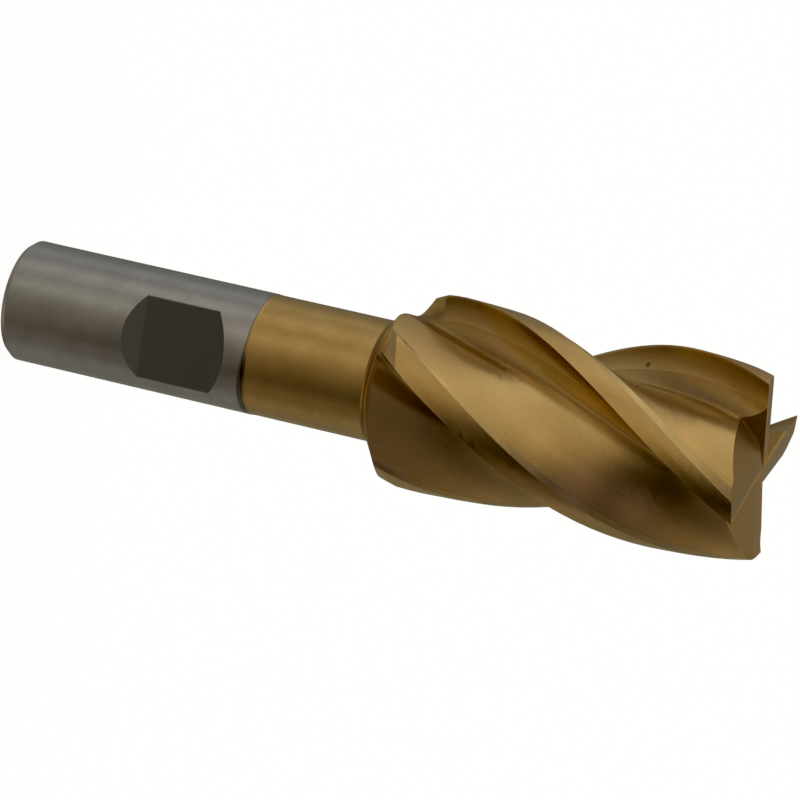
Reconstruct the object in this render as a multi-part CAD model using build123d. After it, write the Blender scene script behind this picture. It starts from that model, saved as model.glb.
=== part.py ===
"""Square end mill, 1 inch, four flutes, right-hand cut and right-hand helix,
on a 5/8 inch shank with one flat ground in it for a side-lock set screw.

Frame: origin at the centre of the shank's end face, +Z along the tool's axis
towards the cutting end.  The flat on the shank faces -Y.  All in millimetres.
"""
import os
from math import atan2, cos, degrees, hypot, pi, radians, sin, sqrt, tan

from build123d import *

# ---------------------------------------------------------------- dimensions
overall_length = 101.6          # 4 inch
cutter_dia = 25.4               # 1 inch, over the cutting edges
shank_dia = 15.875              # 5/8 inch, ground
neck_dia = 15.74                # left as turned, a hair under the shank
flutes = 4
helix_angle = 33.0              # degrees at the outside diameter

shank_length = 34.65            # ground cylinder, shank end to neck
shank_bevel = 0.55              # length of the short bevel down to the neck
shank_chamfer_axial = 0.80      # chamfer round the shank's end
shank_chamfer_radial = 0.62

flat_length = 10.16             # side-lock flat: 0.400 inch along the axis
flat_centre_z = 24.40           # from the shank's end
flat_depth = 2.05               # below the shank's surface
flat_wall_angle = 45.0          # of both end walls of the flat

shoulder_z = 50.90              # neck meets the fluted body
shoulder_slope = 34.0           # of the body's back face from the transverse plane
shoulder_fillet = 0.60          # neck to back face
body_blend_r = 12.28            # the back face turns towards the outside here
body_blend_length = 2.10        # and reaches the full diameter this much later

land_angle_at_end = 12.4        # first relief of a tooth's land, degrees of turn
land_angle_at_shoulder = 18.4   # it is wider at the shoulder
heel_angle_at_end = 18.5        # second relief reaches to here: the heel
heel_angle_at_shoulder = 19.6
margin_angle = 6.0              # leading part of the first relief, a little flatter
margin_drop = 0.09              # radial fall over that part
land_drop = 0.30                # radial fall over the first relief
second_drop = 0.55              # radial fall over the second relief
edge_setback = 3.5              # the edge starts this many degrees back at the shoulder
setback_length = 9.0            # and is on its helix from here on
rake_angle = 8.0                # radial rake of the cutting edge
rake_straight = 0.90           # straight part of the tooth's face
face_radius = 6.6               # hollow of the face below it
face_turn = 42.0                # degrees the face turns over that hollow
flute_fillet = 1.3              # radius at the bottom of the flute, face to back
runout_rise = 2.75              # how far the flute's floor has risen at the shoulder
runout_length = 15.0            # over this much of the body
runout_straight = 0.22         # the straight part is this much shorter for each mm of rise
runout_turn = 12.0              # and the hollow turns this many degrees less
back_bulge = 0.15               # bulge of the flute's back between fillet and heel
runout_bulge = 0.11            # added to it for each mm that the floor has risen

tooth_angle_at_end = 24.2       # where the first cutting edge meets the end plane
dish_angle = 1.2                # end edges fall towards the centre
end_relief_1 = 5.0              # first band behind each end edge
end_relief_1_width = 2.4
end_relief_2 = 14.0             # second band behind it
gash_angle = 35.0               # floor of the end gash, from the end plane
gash_start = 1.94               # from the axis, where the floor would meet the end plane
gash_tilt = 6.0                 # the floor rises this much towards the outside
gash_offset = 0.05              # wall of the gash, ahead of the radial line
gash_fillet = 0.50              # radius between the gash's wall and its floor

# ------------------------------------------------------------ derived values
R = cutter_dia / 2
Rs = shank_dia / 2
Rn = neck_dia / 2
lead = pi * cutter_dia / tan(radians(helix_angle))
turn_per_mm = 360.0 / lead
pitch_deg = 360.0 / flutes
r_land = R - land_drop
r_heel = r_land - second_drop


def pol(r, deg):
    """Point at radius r and angle deg in the transverse plane."""
    return (r * cos(radians(deg)), r * sin(radians(deg)))


def rise(z):
    """How far the flute's floor stands above its normal depth at height z."""
    t = (shoulder_z + runout_length - z) / runout_length
    return runout_rise * t * t if t > 0 else 0.0


def setback(z):
    """How far the cutting edge is turned back at height z, in degrees."""
    t = (shoulder_z + setback_length - z) / setback_length
    return edge_setback * t * t if t > 0 else 0.0


def along(z, at_end, at_shoulder):
    """Value that changes evenly from the shoulder to the end."""
    f = (overall_length - z) / (overall_length - shoulder_z)
    return at_end + (at_shoulder - at_end) * f


def flute_points(z):
    """Flute from one cutting edge to the next tooth's heel, as (x, y) points in
    the frame where the helix of the cutting edge lies on the +X axis."""
    up = rise(z)
    g = radians(rake_angle)
    d = (-cos(g), -sin(g))                       # down the tooth's face
    n = (-sin(g), cos(g))                        # across the flute
    edge = pol(R, -setback(z))
    run = rake_straight - runout_straight * up
    s0 = (edge[0] + run * d[0], edge[1] + run * d[1])
    # hollow of the face, round f, from s0 to s1
    f = (s0[0] + face_radius * n[0], s0[1] + face_radius * n[1])
    b0 = degrees(atan2(-n[1], -n[0]))
    turn = face_turn - runout_turn * up
    hollow = []
    for k in (0.25, 0.5, 0.75, 1.0):
        q = pol(face_radius, b0 - turn * k)
        hollow.append((f[0] + q[0], f[1] + q[1]))
    s1 = hollow[-1]
    n = pol(1.0, b0 - turn + 180)
    rho = flute_fillet
    c = (s1[0] + rho * n[0], s1[1] + rho * n[1])
    # back of the next tooth: tangent line from its heel to the fillet
    p = pol(r_heel, pitch_deg - along(z, heel_angle_at_end, heel_angle_at_shoulder))
    v = (c[0] - p[0], c[1] - p[1])
    dist = hypot(*v)
    tang = sqrt(dist * dist - rho * rho)
    a = atan2(v[1], v[0]) - atan2(rho, tang)
    t = (p[0] + tang * cos(a), p[1] + tang * sin(a))
    # fillet arc from s1 to t, round c
    a0 = degrees(atan2(s1[1] - c[1], s1[0] - c[0]))
    a1 = degrees(atan2(t[1] - c[1], t[0] - c[0]))
    while a1 > a0:
        a1 -= 360
    while a1 < a0 - 360:
        a1 += 360
    pts = [edge, (edge[0] + 0.5 * run * d[0], edge[1] + 0.5 * run * d[1]), s0] + hollow
    for k in range(1, 4):
        q = pol(rho, a0 + (a1 - a0) * k / 4)
        pts.append((c[0] + q[0], c[1] + q[1]))
    pts.append(t)
    # the back bulges a little between the fillet and the heel
    m = (p[0] - t[0], p[1] - t[1])
    length = hypot(*m)
    out = (m[1] / length, -m[0] / length)
    swell = back_bulge + runout_bulge * up
    for f in (0.25, 0.5, 0.75):
        bulge = swell * 4 * f * (1 - f)
        pts.append((t[0] + f * m[0] + out[0] * bulge, t[1] + f * m[1] + out[1] * bulge))
    pts.append(p)
    return pts


def section(z):
    """Closed wire of the fluted body's transverse section at height z."""
    start = tooth_angle_at_end - (overall_length - z) * turn_per_mm
    edges = []
    base = flute_points(z)
    land_angle = along(z, land_angle_at_end, land_angle_at_shoulder)
    back = setback(z)

    def place(p, deg):
        c, s = cos(radians(deg)), sin(radians(deg))
        return Vector(p[0] * c - p[1] * s, p[0] * s + p[1] * c, z)

    for k in range(flutes):
        a = start + k * pitch_deg
        pts = [place(p, a) for p in base]
        edges.append(Edge.make_spline(pts))
        nxt = a + pitch_deg
        h0 = pts[-1]
        h1 = place(pol(r_land, -land_angle), nxt)
        h2 = place(pol(R - margin_drop, -margin_angle), nxt)
        h3 = place(pol(R, -back), nxt)
        edges.append(Edge.make_line(h0, h1))
        mid = place(pol((r_land + R - margin_drop) / 2 + 0.02, -(land_angle + margin_angle) / 2), nxt)
        edges.append(Edge.make_three_point_arc(h1, mid, h2))
        mid = place(pol(R - margin_drop / 2 + 0.005, -(margin_angle + back) / 2), nxt)
        edges.append(Edge.make_three_point_arc(h2, mid, h3))
    return Wire(edges)


# -------------------------------------------------------------- fluted body
z_from = shoulder_z - 1.5
z_to = overall_length + 1.5
steps = 22
levels = [z_from + (z_to - z_from) * i / steps for i in range(steps + 1)]
fluted = Solid.make_loft([section(z) for z in levels])

# envelope: back face, blend to the full diameter, square end
rise_to_blend = (body_blend_r - Rn) * tan(radians(shoulder_slope))
z_blend = shoulder_z + rise_to_blend
slope = (R - body_blend_r) / body_blend_length
r_out = R + 0.6
env = Polyline(
    (0, 0, shoulder_z - 1.0),
    (Rn - 1.0, 0, shoulder_z - 1.0),
    (Rn - 1.0, 0, shoulder_z - 1.0 * tan(radians(shoulder_slope))),
    (body_blend_r, 0, z_blend),
    (r_out, 0, z_blend + (r_out - body_blend_r) / slope),
    (r_out, 0, overall_length),
    (0, 0, overall_length),
    close=True,
)
envelope = revolve(make_face(env), axis=Axis.Z, revolution_arc=360)
body = fluted & envelope

# ------------------------------------------------------------ shank and neck
z_core = z_blend + 1.2
shank_profile = Polyline(
    (0, 0, 0),
    (Rs - shank_chamfer_radial, 0, 0),
    (Rs, 0, shank_chamfer_axial),
    (Rs, 0, shank_length - shank_bevel),
    (Rn, 0, shank_length),
    (Rn, 0, shoulder_z - shoulder_fillet * 0.5),
    (Rn + shoulder_fillet * 0.16, 0, shoulder_z - shoulder_fillet * 0.02),
    (Rn + shoulder_fillet * 0.5, 0, shoulder_z + shoulder_fillet * 0.5 * tan(radians(shoulder_slope))),
    (Rn - 2.0, 0, z_core + 3.0),
    (0, 0, z_core + 3.0),
    close=True,
)
stem = revolve(make_face(shank_profile), axis=Axis.Z, revolution_arc=360)

# the flat, with sloped walls at both ends
half = flat_length / 2
run_out = (flat_depth + 1.0) / tan(radians(flat_wall_angle))
y_flat = -(Rs - flat_depth)
y_far = -(Rs + 1.0)
flat_cut = Polyline(
    (0, y_flat, flat_centre_z - half),
    (0, y_flat, flat_centre_z + half),
    (0, y_far, flat_centre_z + half + run_out),
    (0, y_far, flat_centre_z - half - run_out),
    close=True,
)
flat_tool = extrude(make_face(flat_cut), amount=Rs + 1, dir=(1, 0, 0), both=True)
stem -= flat_tool

mill = stem + body

# ------------------------------------------------------------- cutting end
far = 15.0
lift = 2.0
w1 = end_relief_1_width
z1 = -w1 * tan(radians(end_relief_1))
z2 = z1 - (far - w1) * tan(radians(end_relief_2))
dish_drop = R * tan(radians(dish_angle))
for k in range(flutes):
    ang = tooth_angle_at_end + k * pitch_deg
    # quadrant ahead of edge k and behind edge k + 1: the local X axis is edge
    # k, the local Y axis is edge k + 1, so x is the distance behind edge k + 1
    relief = Polyline(
        (0, 0, overall_length - dish_drop),
        (w1, 0, overall_length - dish_drop + z1),
        (far, 0, overall_length - dish_drop + z2),
        (far, 0, overall_length + lift),
        (0, 0, overall_length + lift),
        close=True,
    )
    rel = extrude(make_face(relief), amount=far, dir=(0, 1, tan(radians(dish_angle))))
    floor_end = overall_length - (far - gash_start) * tan(radians(gash_angle))
    gash = Polyline(
        (gash_start - lift / tan(radians(gash_angle)), gash_offset, overall_length + lift),
        (far, gash_offset, floor_end),
        (far, gash_offset, overall_length + lift),
        close=True,
    )
    gsh = extrude(make_face(gash), amount=far, dir=(0, 1, tan(radians(gash_tilt))))
    # round the corner between the wall and the floor
    corner = [
        e for e in gsh.edges()
        if abs(e.center().Y - gash_offset) < 1e-6
        and abs(e.tangent_at(0.5).X) > 0.1 and abs(e.tangent_at(0.5).Z) > 0.1
    ]
    gsh = fillet(corner, gash_fillet)
    mill -= rel.rotate(Axis.Z, ang)
    mill -= gsh.rotate(Axis.Z, ang)

end_mill = mill.solid()
end_mill.label = "end_mill"

os.makedirs("parts", exist_ok=True)
export_step(end_mill, "parts/end_mill.step")
bb = end_mill.bounding_box()
print("solids", len(mill.solids()), "valid", end_mill.is_valid, "volume", round(end_mill.volume, 1))
print("box", bb.min, bb.max, "lead", round(lead, 2))
print("centre of mass", end_mill.center(CenterOf.MASS))
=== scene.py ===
"""Looks of the square end mill: ground high-speed steel with a gold nitride film
on the fluted body and the neck, a bare ground shank with one flat.

Metres, in the part's own frame: origin at the centre of the shank's end face,
+Z along the tool towards the cutting end, the flat faces -Y.
"""
import math

import bpy
from mathutils import Matrix, Vector

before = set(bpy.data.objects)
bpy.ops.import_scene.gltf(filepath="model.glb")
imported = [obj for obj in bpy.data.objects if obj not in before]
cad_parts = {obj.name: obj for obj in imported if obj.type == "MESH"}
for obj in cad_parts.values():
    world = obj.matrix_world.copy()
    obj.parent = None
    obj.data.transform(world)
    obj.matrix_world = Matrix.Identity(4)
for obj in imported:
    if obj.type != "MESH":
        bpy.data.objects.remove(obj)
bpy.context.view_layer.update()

TOP = 101.6                                                # cutting end, mm
TURN = 360.0 / (math.pi * 25.4 / math.tan(math.radians(33.0)))   # of the helix, degrees a mm
EDGE_AT_TOP = 24.2                                          # first cutting edge, degrees from +X
GOLD_FROM = 34.35                                           # the film starts here, mm
PITS = [                                                    # small dark pits, mm and size
    (-7.22, -7.68, 52.70, 0.42),
    (-7.55, -9.44, 55.85, 0.40),
    (-8.55, 5.16, 83.18, 0.50),
]


# ------------------------------------------------------------------ node tools
class Nodes:
    """Short calls for building a node tree."""

    def __init__(self, tree):
        self.t = tree
        tree.nodes.clear()

    def node(self, kind, **settings):
        n = self.t.nodes.new(kind)
        for k, v in settings.items():
            setattr(n, k, v)
        return n

    def link(self, a, b):
        self.t.links.new(a, b)

    def put(self, socket, value):
        if isinstance(value, bpy.types.NodeSocket):
            self.link(value, socket)
        elif value is not None:
            socket.default_value = value

    def math(self, op, a, b=None, c=None, clamp=False):
        n = self.node("ShaderNodeMath", operation=op, use_clamp=clamp)
        self.put(n.inputs[0], a)
        self.put(n.inputs[1], b)
        if c is not None:
            self.put(n.inputs[2], c)
        return n.outputs[0]

    def vmath(self, op, a, b=None, scale=None):
        n = self.node("ShaderNodeVectorMath", operation=op)
        self.put(n.inputs[0], a)
        if b is not None:
            self.put(n.inputs[1], b)
        if scale is not None:
            self.put(n.inputs["Scale"], scale)
        return n.outputs["Value"] if op in ("DOT_PRODUCT", "LENGTH") else n.outputs["Vector"]

    def xyz(self, x, y, z):
        n = self.node("ShaderNodeCombineXYZ")
        self.put(n.inputs[0], x)
        self.put(n.inputs[1], y)
        self.put(n.inputs[2], z)
        return n.outputs[0]

    def split(self, v):
        n = self.node("ShaderNodeSeparateXYZ")
        self.put(n.inputs[0], v)
        return n.outputs

    def ramp(self, value, lo, hi, a=0.0, b=1.0, smooth=True):
        n = self.node("ShaderNodeMapRange", interpolation_type="SMOOTHSTEP" if smooth else "LINEAR")
        self.put(n.inputs["Value"], value)
        n.inputs["From Min"].default_value = lo
        n.inputs["From Max"].default_value = hi
        n.inputs["To Min"].default_value = a
        n.inputs["To Max"].default_value = b
        return n.outputs["Result"]

    def mix(self, fac, a, b, blend="MIX"):
        n = self.node("ShaderNodeMix", data_type="RGBA", blend_type=blend)
        self.put(n.inputs["Factor"], fac)
        self.put(n.inputs["A"], a)
        self.put(n.inputs["B"], b)
        return n.outputs["Result"]

    def noise(self, vector, scale, detail=3.0, rough=0.55):
        n = self.node("ShaderNodeTexNoise", noise_dimensions="3D")
        self.put(n.inputs["Vector"], vector)
        n.inputs["Scale"].default_value = scale
        n.inputs["Detail"].default_value = detail
        n.inputs["Roughness"].default_value = rough
        return n.outputs["Fac"]


def rgb(r, g, b):
    return (r, g, b, 1.0)


# ---------------------------------------------------------------- tool steel
def tool_steel(name):
    m = bpy.data.materials.new(name)
    m.use_nodes = True
    n = Nodes(m.node_tree)
    out = n.node("ShaderNodeOutputMaterial")
    shader = n.node("ShaderNodeBsdfPrincipled")
    n.link(shader.outputs[0], out.inputs["Surface"])
    coord = n.node("ShaderNodeTexCoord")
    pos = n.vmath("SCALE", coord.outputs["Object"], scale=1000.0)       # millimetres
    x, y, z = n.split(pos)
    nx, ny, nz = n.split(coord.outputs["Normal"])
    r = n.math("SQRT", n.math("ADD", n.math("MULTIPLY", x, x), n.math("MULTIPLY", y, y)))
    theta = n.math("MULTIPLY", n.math("ARCTAN2", y, x), 180.0 / math.pi)
    below = n.math("SUBTRACT", TOP, z)                                  # the cutting end

    def times(*values):
        total = values[0]
        for v in values[1:]:
            total = n.math("MULTIPLY", total, v)
        return total

    def band(v, lo, hi, soft):
        """1 between lo and hi, with soft ends."""
        return times(n.ramp(v, lo - soft, lo + soft), n.ramp(v, hi - soft, hi + soft, 1.0, 0.0))

    def tint(colour, mask, amount, target):
        return n.mix(n.math("MULTIPLY", mask, amount), colour, target)

    def shade(colour, factor):
        f = n.xyz(factor, factor, factor)
        return n.mix(1.0, colour, f, "MULTIPLY")

    # degrees of turn ahead of the cutting edge that lies behind, 0 to 90
    edge_at = n.math("SUBTRACT", EDGE_AT_TOP, n.math("MULTIPLY", below, TURN))
    ahead = n.math("FLOORED_MODULO", n.math("SUBTRACT", theta, edge_at), 90.0)
    behind = n.math("SUBTRACT", 90.0, ahead)                            # behind the next edge
    run_in = n.math("DIVIDE", below, 50.7)
    land_end = n.math("ADD", 12.4, n.math("MULTIPLY", run_in, 6.0))
    heel = n.math("ADD", 18.5, n.math("MULTIPLY", run_in, 1.1))

    fluted = n.ramp(z, 51.4, 52.6)
    film = n.ramp(z, GOLD_FROM - 0.06, GOLD_FROM + 0.06)
    outer = n.ramp(r, 11.45, 11.75)
    side = n.ramp(n.math("ABSOLUTE", nz), 0.55, 0.75, 1.0, 0.0)

    # grinding marks: round the shank and the neck, along the helix in the flutes
    turns = n.vmath("NORMALIZE", n.xyz(x, y, 0.0))
    tx, ty, _ = n.split(turns)
    round_marks = n.noise(n.xyz(tx, ty, n.math("MULTIPLY", z, 9.0)), 0.9, 4.0, 0.65)
    helix_marks = n.noise(n.xyz(n.math("MULTIPLY", ahead, 1.1), n.math("MULTIPLY", r, 4.5),
                                n.math("MULTIPLY", z, 0.07)), 0.8, 4.0, 0.65)
    broad_marks = n.noise(n.xyz(n.math("MULTIPLY", ahead, 0.16), n.math("MULTIPLY", r, 0.8),
                                n.math("MULTIPLY", z, 0.035)), 1.0, 2.0, 0.5)
    end_marks = n.noise(n.xyz(n.math("MULTIPLY", n.math("ADD", x, y), 7.0),
                              n.math("MULTIPLY", n.math("SUBTRACT", x, y), 0.7),
                              n.math("MULTIPLY", z, 0.7)), 0.9, 3.0, 0.6)
    marks = n.math("ADD", times(round_marks, n.ramp(z, 51.4, 52.6, 1.0, 0.0)),
                   n.math("ADD", times(helix_marks, fluted, side),
                          times(end_marks, fluted, n.math("SUBTRACT", 1.0, side))))
    mottle = n.noise(pos, 0.32, 3.0, 0.55)
    grain = n.noise(pos, 3.2, 2.0, 0.6)

    # bare steel of the shank
    steel = n.mix(n.ramp(mottle, 0.35, 0.65), rgb(0.535, 0.552, 0.609), rgb(0.590, 0.610, 0.679))
    flat = times(band(y, -6.0, -5.80, 0.02), band(z, 19.3, 29.5, 0.05))
    flat_wall_shade = times(n.math("GREATER_THAN", n.math("ABSOLUTE", nz), 0.4), band(z, 16.5, 32.5, 0.1),
                      n.math("LESS_THAN", y, -5.7))
    # painted shade: the flat is drawn darker and bluer than the round shank
    steel = tint(steel, flat, 1.0, rgb(0.272, 0.292, 0.350))
    # painted shade on the flat's two end walls, darker on the one nearer the shank's end
    steel = tint(steel, flat_wall_shade, 1.0, n.mix(n.math("GREATER_THAN", z, 24.4),
                                              rgb(0.20, 0.215, 0.265), rgb(0.38, 0.395, 0.42)))
    # painted shade on the strip next to the film: narrow, wider and darker towards +X
    shaded_strip_from = n.ramp(x, -4.0, 5.0, GOLD_FROM - 0.22, GOLD_FROM - 0.80)
    shaded_strip = n.ramp(n.math("SUBTRACT", z, shaded_strip_from), -0.10, 0.10)
    shaded_strip = times(shaded_strip, n.ramp(x, -6.0, 5.0, 0.45, 0.85))
    steel = tint(steel, shaded_strip, 1.0, rgb(0.16, 0.14, 0.105))

    # gold film
    gold = n.mix(n.ramp(mottle, 0.32, 0.68), rgb(0.735, 0.512, 0.218), rgb(0.812, 0.580, 0.266))
    gold = n.mix(times(n.ramp(broad_marks, 0.35, 0.65), fluted, 0.6), gold, rgb(0.76, 0.545, 0.245))
    # painted highlight on the back of the flute
    flute_back_highlight = times(fluted, side, n.ramp(ahead, 14.0, 24.0), n.ramp(r, 11.6, 12.0, 1.0, 0.0))
    gold = tint(gold, flute_back_highlight, 0.90, rgb(1.0, 0.780, 0.410))
    # land: painted highlights on the margin, the inner band and, brightest, the second relief
    land_highlight = times(fluted, outer, side, n.math("LESS_THAN", behind, heel))
    gold = tint(gold, land_highlight, 0.8, rgb(0.88, 0.630, 0.290))
    inner_band_highlight = times(land_highlight, n.ramp(behind, 6.5, 9.5),
                  n.ramp(n.math("SUBTRACT", land_end, behind), -0.25, 0.25))
    gold = tint(gold, inner_band_highlight, n.ramp(below, 4.0, 34.0, 0.70, 0.20), rgb(0.93, 0.715, 0.390))
    second_relief_highlight = times(land_highlight, n.ramp(n.math("SUBTRACT", behind, land_end), -0.2, 0.3))
    gold = tint(gold, second_relief_highlight, 0.95, rgb(1.0, 0.850, 0.500))
    # painted shade along the bottom of the flute
    over_floor = n.math("SUBTRACT", r, n.ramp(z, 52.0, 66.0, 1.5, 0.0))
    crease_shade = times(fluted, side, n.ramp(over_floor, 7.3, 8.3, 1.0, 0.0), band(ahead, 7.0, 22.0, 4.0))
    gold = tint(gold, crease_shade, n.ramp(z, 64.0, 84.0, 0.85, 0.50), rgb(0.43, 0.235, 0.060))
    # painted shade on the tooth's face, darker towards the edge
    from_edge = n.math("SUBTRACT", n.math("FLOORED_MODULO", n.math("ADD", ahead, 45.0), 90.0), 45.0)
    tooth_face_shade = times(fluted, side, n.ramp(from_edge, 6.0, 11.0, 1.0, 0.0), n.ramp(from_edge, -4.0, -3.0),
                 n.ramp(n.math("SUBTRACT", r, n.math("MULTIPLY", from_edge, 0.35)), 12.60, 12.75, 1.0, 0.0))
    gold = tint(gold, tooth_face_shade, n.ramp(r, 8.2, 12.4, 0.25, 0.85), rgb(0.33, 0.205, 0.072))
    # painted shade where the neck meets the teeth's backs
    root_shade = times(band(z, 50.6, 51.6, 0.15), n.ramp(r, 8.8, 9.4, 1.0, 0.0))
    gold = tint(gold, root_shade, 0.80, rgb(0.34, 0.220, 0.095))
    # painted shade next to each cutting edge where the flutes begin
    inside_shade = times(band(z, 51.8, 56.0, 1.2), band(r, 8.9, 10.6, 0.7),
                   n.ramp(n.math("ABSOLUTE", from_edge), 1.5, 3.0, 1.0, 0.0))
    gold = tint(gold, inside_shade, 0.70, rgb(0.26, 0.160, 0.060))
    # painted highlight on the teeth's backs, brighter out towards the lands
    teeth_backs_highlight = times(n.ramp(nz, -0.50, -0.35, 1.0, 0.0), band(z, 51.5, 55.6, 0.2), n.ramp(r, 10.3, 12.0))
    gold = tint(gold, teeth_backs_highlight, 0.85, rgb(1.0, 0.82, 0.40))
    # painted highlight line along each cutting edge
    edge_highlight = times(fluted, n.ramp(r, 12.3, 12.6), n.ramp(n.math("MINIMUM", ahead, behind), 0.25, 0.65, 1.0, 0.0))
    gold = tint(gold, edge_highlight, 0.6, rgb(0.86, 0.70, 0.42))

    # the end: reliefs ground after coating show grey, the gashes are dull
    end = times(n.ramp(z, 92.0, 93.0), n.ramp(nz, 0.50, 0.62))
    relief = times(end, n.ramp(nz, 0.93, 0.955))
    around = n.math("FLOORED_MODULO", n.math("SUBTRACT", theta, EDGE_AT_TOP), 90.0)
    across = n.math("MULTIPLY", r, n.math("SINE", n.math("MULTIPLY", around, math.pi / 180.0)))
    across_2 = n.math("MULTIPLY", r, n.math("COSINE", n.math("MULTIPLY", around, math.pi / 180.0)))
    gold = tint(gold, end, 0.8, rgb(0.52, 0.415, 0.265))
    gold = tint(gold, relief, 0.85, rgb(0.54, 0.440, 0.305))
    # painted highlight on the narrow primary land behind each end edge
    primary_land_highlight = times(relief, n.ramp(across_2, 2.3, 2.5, 1.0, 0.0))
    gold = tint(gold, primary_land_highlight, 0.75, rgb(0.61, 0.520, 0.400))
    # painted highlight along the end edges, stronger on the two on the -Y side
    gold = tint(gold, times(relief, n.ramp(n.math("MINIMUM", across, across_2), 0.50, 0.70, 1.0, 0.0)),
                n.ramp(y, -1.0, 0.0, 0.85, 0.20), rgb(0.95, 0.76, 0.42))
    # painted shade on the walls of the gashes; the same mask makes them rougher below
    floor_line = n.math("SUBTRACT", 101.5, n.math("MULTIPLY", n.math("SUBTRACT", r, 1.94), 0.70))
    shaded_rough_gash_wall = times(n.ramp(n.math("SUBTRACT", z, floor_line), -0.25, 0.0), n.ramp(z, 101.0, 101.3, 1.0, 0.0),
                 n.ramp(r, 9.9, 10.4, 1.0, 0.0), n.ramp(nz, 0.60, 0.80, 1.0, 0.0),
                 n.ramp(n.math("ABSOLUTE", n.math("SUBTRACT", across, 0.25)), 0.40, 0.60, 1.0, 0.0))
    gold = tint(gold, shaded_rough_gash_wall, 0.45, rgb(0.34, 0.215, 0.09))
    # painted shade on the end's steeper faces near the centre
    end_hollow_shade = times(n.ramp(z, 92.0, 93.0), n.ramp(r, 9.9, 10.4, 1.0, 0.0), n.ramp(nz, 0.55, 0.62),
                   n.ramp(nz, 0.78, 0.82, 1.0, 0.0))
    gold = tint(gold, end_hollow_shade, 0.75, rgb(0.28, 0.18, 0.075))

    colour = n.mix(film, steel, gold)
    # a few pits
    for px, py, pz, size in PITS:
        away = n.vmath("LENGTH", n.vmath("SUBTRACT", pos, (px, py, pz)))
        colour = tint(colour, n.ramp(away, size * 0.45, size, 1.0, 0.0), 0.75, rgb(0.12, 0.075, 0.03))

    lines = n.ramp(marks, 0.25, 0.75, 0.945, 1.055, smooth=False)
    specks = n.ramp(grain, 0.3, 0.7, 0.96, 1.04, smooth=False)
    colour = shade(colour, n.math("MULTIPLY", lines, specks))
    n.link(colour, shader.inputs["Base Color"])
    rough = n.ramp(marks, 0.3, 0.7, 0.15, 0.23, smooth=False)
    coarse = n.math("MAXIMUM", shaded_rough_gash_wall, n.math("SUBTRACT", end, relief))
    run_out = times(fluted, n.ramp(z, 56.0, 72.0, 1.0, 0.0), n.ramp(r, 11.3, 11.8, 1.0, 0.0))
    rough = n.math("ADD", rough, n.math("ADD", n.math("MULTIPLY", coarse, 0.32),
                                        n.math("MULTIPLY", run_out, 0.14)))
    n.link(rough, shader.inputs["Roughness"])
    shader.inputs["Metallic"].default_value = 1.0
    bump = n.node("ShaderNodeBump")
    bump.inputs["Strength"].default_value = 0.12
    bump.inputs["Distance"].default_value = 0.00002
    n.link(marks, bump.inputs["Height"])
    n.link(bump.outputs[0], shader.inputs["Normal"])
    return m


steel = tool_steel("tool_steel_ground")
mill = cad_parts["end_mill"]
mill.data.materials.clear()
mill.data.materials.append(steel)


# --------------------------------------------------------------------- stage
# camera, as a matrix from its own axes to the part's
CAM_POS = Vector((-0.11711674, -0.54115212, 0.2391494))
CAM_ROT = Matrix((
    (-0.15324747, -0.96699259, -0.20356951),
    (0.35119766, 0.13925883, -0.92588724),
    (0.92367495, -0.21338301, 0.31826447),
))
cam_data = bpy.data.cameras.new("camera")
cam_data.sensor_width = 36.0
cam_data.lens = 207.27
cam_data.clip_end = 30.0
camera = bpy.data.objects.new("camera", cam_data)
bpy.context.scene.collection.objects.link(camera)
camera.matrix_world = Matrix.Translation(CAM_POS) @ CAM_ROT.to_4x4()
bpy.context.scene.camera = camera

# floor: pale, plain, out of the metal's reflections
floor_mesh = bpy.data.meshes.new("floor")
ring = [(4.0 * math.cos(t), 4.0 * math.sin(t), -0.00005) for t in
        (2 * math.pi * i / 96 for i in range(96))]
floor_mesh.from_pydata(ring, [], [list(range(96))])
floor = bpy.data.objects.new("floor", floor_mesh)
bpy.context.scene.collection.objects.link(floor)
fm = bpy.data.materials.new("floor_pale")
fm.use_nodes = True
fn = Nodes(fm.node_tree)
f_out = fn.node("ShaderNodeOutputMaterial")
f_dif = fn.node("ShaderNodeBsdfDiffuse")
f_dif.inputs["Color"].default_value = rgb(0.26, 0.28, 0.34)
f_em = fn.node("ShaderNodeEmission")
f_em.inputs["Color"].default_value = rgb(1, 1, 1)
f_em.inputs["Strength"].default_value = 0.94
f_add = fn.node("ShaderNodeAddShader")
fn.link(f_dif.outputs[0], f_add.inputs[0])
fn.link(f_em.outputs[0], f_add.inputs[1])
fn.link(f_add.outputs[0], f_out.inputs["Surface"])
floor_mesh.materials.append(fm)
floor.visible_glossy = False
floor.visible_diffuse = False
floor.visible_shadow = False

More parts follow.
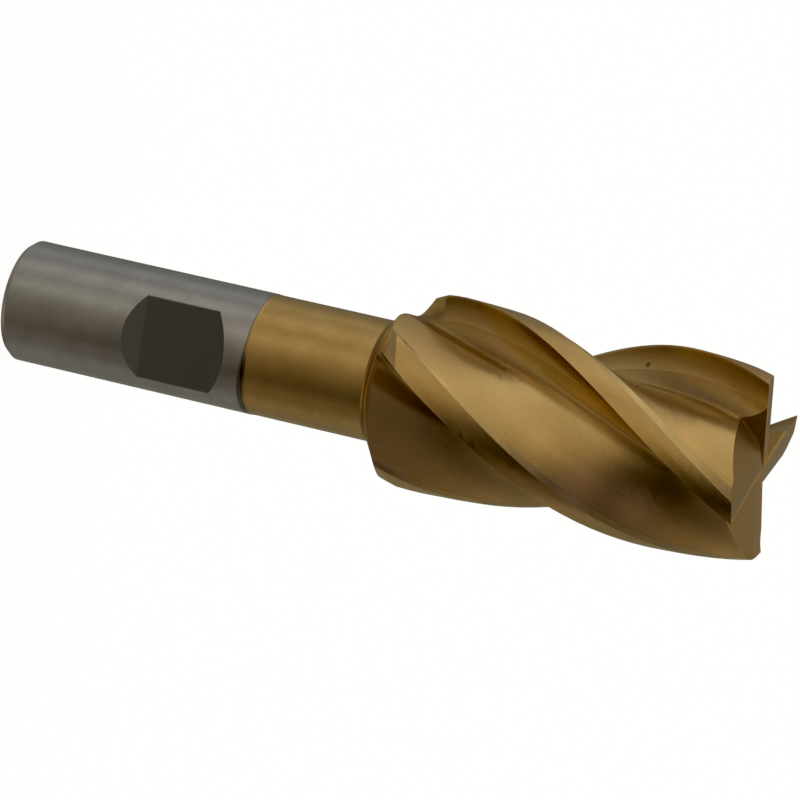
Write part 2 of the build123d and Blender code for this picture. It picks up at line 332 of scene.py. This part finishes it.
# studio light: soft round sources, far away.  Each is a longitude and latitude
# seen from the tool in the camera's axes, a sharpness and a colour.
SOURCES = [
    (90.0, 80.4, 22.0, (0.320, 0.275, 0.204)),
    (-47.5, 73.4, 22.0, (0.387, 0.351, 0.279)),
    (175.0, 68.5, 22.0, (0.236, 0.231, 0.202)),
    (37.5, 64.5, 22.0, (0.286, 0.223, 0.137)),
    (-100.0, 61.0, 22.0, (0.046, 0.047, 0.073)),
    (122.5, 57.9, 22.0, (0.341, 0.266, 0.171)),
    (-15.0, 55.0, 22.0, (0.208, 0.164, 0.105)),
    (-152.6, 52.3, 22.0, (0.215, 0.208, 0.172)),
    (69.9, 49.8, 22.0, (0.235, 0.198, 0.131)),
    (-67.6, 47.4, 22.0, (0.052, 0.057, 0.079)),
    (154.9, 45.1, 22.0, (0.138, 0.117, 0.097)),
    (17.4, 42.9, 22.0, (0.348, 0.273, 0.174)),
    (-120.1, 40.8, 22.0, (0.281, 0.249, 0.176)),
    (102.4, 38.7, 22.0, (0.480, 0.408, 0.274)),
    (-35.1, 36.7, 22.0, (0.365, 0.325, 0.234)),
    (-172.6, 34.7, 22.0, (0.130, 0.133, 0.111)),
    (-87.6, 30.9, 22.0, (0.253, 0.181, 0.107)),
    (134.9, 29.1, 22.0, (0.437, 0.360, 0.240)),
    (-2.6, 27.3, 22.0, (0.183, 0.135, 0.078)),
    (-140.2, 25.5, 22.0, (0.179, 0.159, 0.111)),
    (82.3, 23.8, 22.0, (0.125, 0.106, 0.071)),
    (-55.2, 22.0, 22.0, (0.101, 0.119, 0.120)),
    (167.3, 20.3, 22.0, (0.114, 0.103, 0.078)),
    (-22.7, 13.7, 22.0, (0.254, 0.193, 0.106)),
    (-160.2, 12.0, 22.0, (0.125, 0.108, 0.074)),
    (62.3, 10.4, 22.0, (0.268, 0.229, 0.154)),
    (-75.2, 8.8, 22.0, (0.228, 0.188, 0.132)),
    (9.8, 5.6, 22.0, (0.119, 0.084, 0.078)),
    (-127.8, 4.0, 22.0, (0.288, 0.249, 0.167)),
    (94.7, 2.4, 22.0, (0.180, 0.152, 0.100)),
    (-42.8, 0.8, 22.0, (0.131, 0.104, 0.070)),
    (179.7, -0.8, 22.0, (0.067, 0.059, 0.041)),
    (-95.3, -4.0, 22.0, (0.168, 0.139, 0.091)),
    (127.2, -5.6, 22.0, (0.288, 0.218, 0.119)),
    (74.7, -10.4, 22.0, (0.421, 0.360, 0.241)),
    (-62.8, -12.0, 22.0, (0.256, 0.212, 0.142)),
    (159.7, -13.7, 22.0, (0.249, 0.207, 0.137)),
    (-115.4, -17.0, 22.0, (0.126, 0.109, 0.074)),
    (107.1, -18.6, 22.0, (0.171, 0.137, 0.085)),
    (-167.9, -22.0, 22.0, (0.187, 0.175, 0.130)),
    (54.6, -23.8, 22.0, (0.307, 0.260, 0.174)),
    (-82.9, -25.5, 22.0, (0.297, 0.257, 0.173)),
    (139.6, -27.3, 22.0, (0.113, 0.084, 0.045)),
    (2.1, -29.1, 22.0, (0.127, 0.090, 0.078)),
    (-135.4, -30.9, 22.0, (0.170, 0.152, 0.110)),
    (87.1, -32.8, 22.0, (0.396, 0.336, 0.224)),
    (172.1, -36.7, 22.0, (0.051, 0.050, 0.040)),
    (-103.0, -40.8, 22.0, (0.067, 0.073, 0.061)),
    (119.5, -42.9, 22.0, (0.192, 0.161, 0.106)),
    (-155.5, -47.4, 22.0, (0.127, 0.125, 0.107)),
    (-70.5, -52.3, 22.0, (0.111, 0.082, 0.058)),
    (152.0, -55.0, 22.0, (0.180, 0.151, 0.106)),
    (14.5, -57.9, 22.0, (0.141, 0.107, 0.066)),
    (-123.0, -61.0, 22.0, (0.201, 0.171, 0.128)),
    (99.5, -64.5, 22.0, (0.379, 0.333, 0.231)),
    (46.9, -80.4, 22.0, (0.118, 0.084, 0.063)),
]
BRIGHTNESS = 0.87
FILL = (0.0, 0.0, 0.0)
world = bpy.data.worlds.new("studio")
bpy.context.scene.world = world
world.use_nodes = True
w = Nodes(world.node_tree)
w_out = w.node("ShaderNodeOutputWorld")
direction = w.node("ShaderNodeTexCoord").outputs["Generated"]
total = FILL
for lon, lat, sharp, col in SOURCES:
    # colour * exp(sharp * (direction . axis - 1)), in as few nodes as it takes
    lo, la = math.radians(lon), math.radians(lat)
    axis = CAM_ROT @ Vector((math.cos(la) * math.sin(lo), math.sin(la), math.cos(la) * math.cos(lo)))
    e = w.math("EXPONENT", w.vmath("DOT_PRODUCT", direction, tuple(axis * sharp)))
    add = w.node("ShaderNodeVectorMath", operation="MULTIPLY_ADD")
    w.put(add.inputs[0], e)
    w.put(add.inputs[1], tuple(BRIGHTNESS * c * math.exp(-sharp) for c in col))
    w.put(add.inputs[2], total)
    total = add.outputs["Vector"]
light = w.node("ShaderNodeBackground")
w.link(total, light.inputs["Color"])
pale = w.node("ShaderNodeBackground")
pale.inputs["Color"].default_value = rgb(0.98, 0.98, 0.98)
seen = w.node("ShaderNodeLightPath").outputs["Is Camera Ray"]
both = w.node("ShaderNodeMixShader")
w.link(seen, both.inputs[0])
w.link(light.outputs[0], both.inputs[1])
w.link(pale.outputs[0], both.inputs[2])
w.link(both.outputs[0], w_out.inputs["Surface"])

view = bpy.context.scene.view_settings
view.view_transform = "Standard"
view.look = "None"
view.exposure = 0.0
view.gamma = 1.0
view.use_curve_mapping = True                 # deep blacks, as a product picture has
view.curve_mapping.black_level = (0.008, 0.008, 0.008)
view.curve_mapping.update()
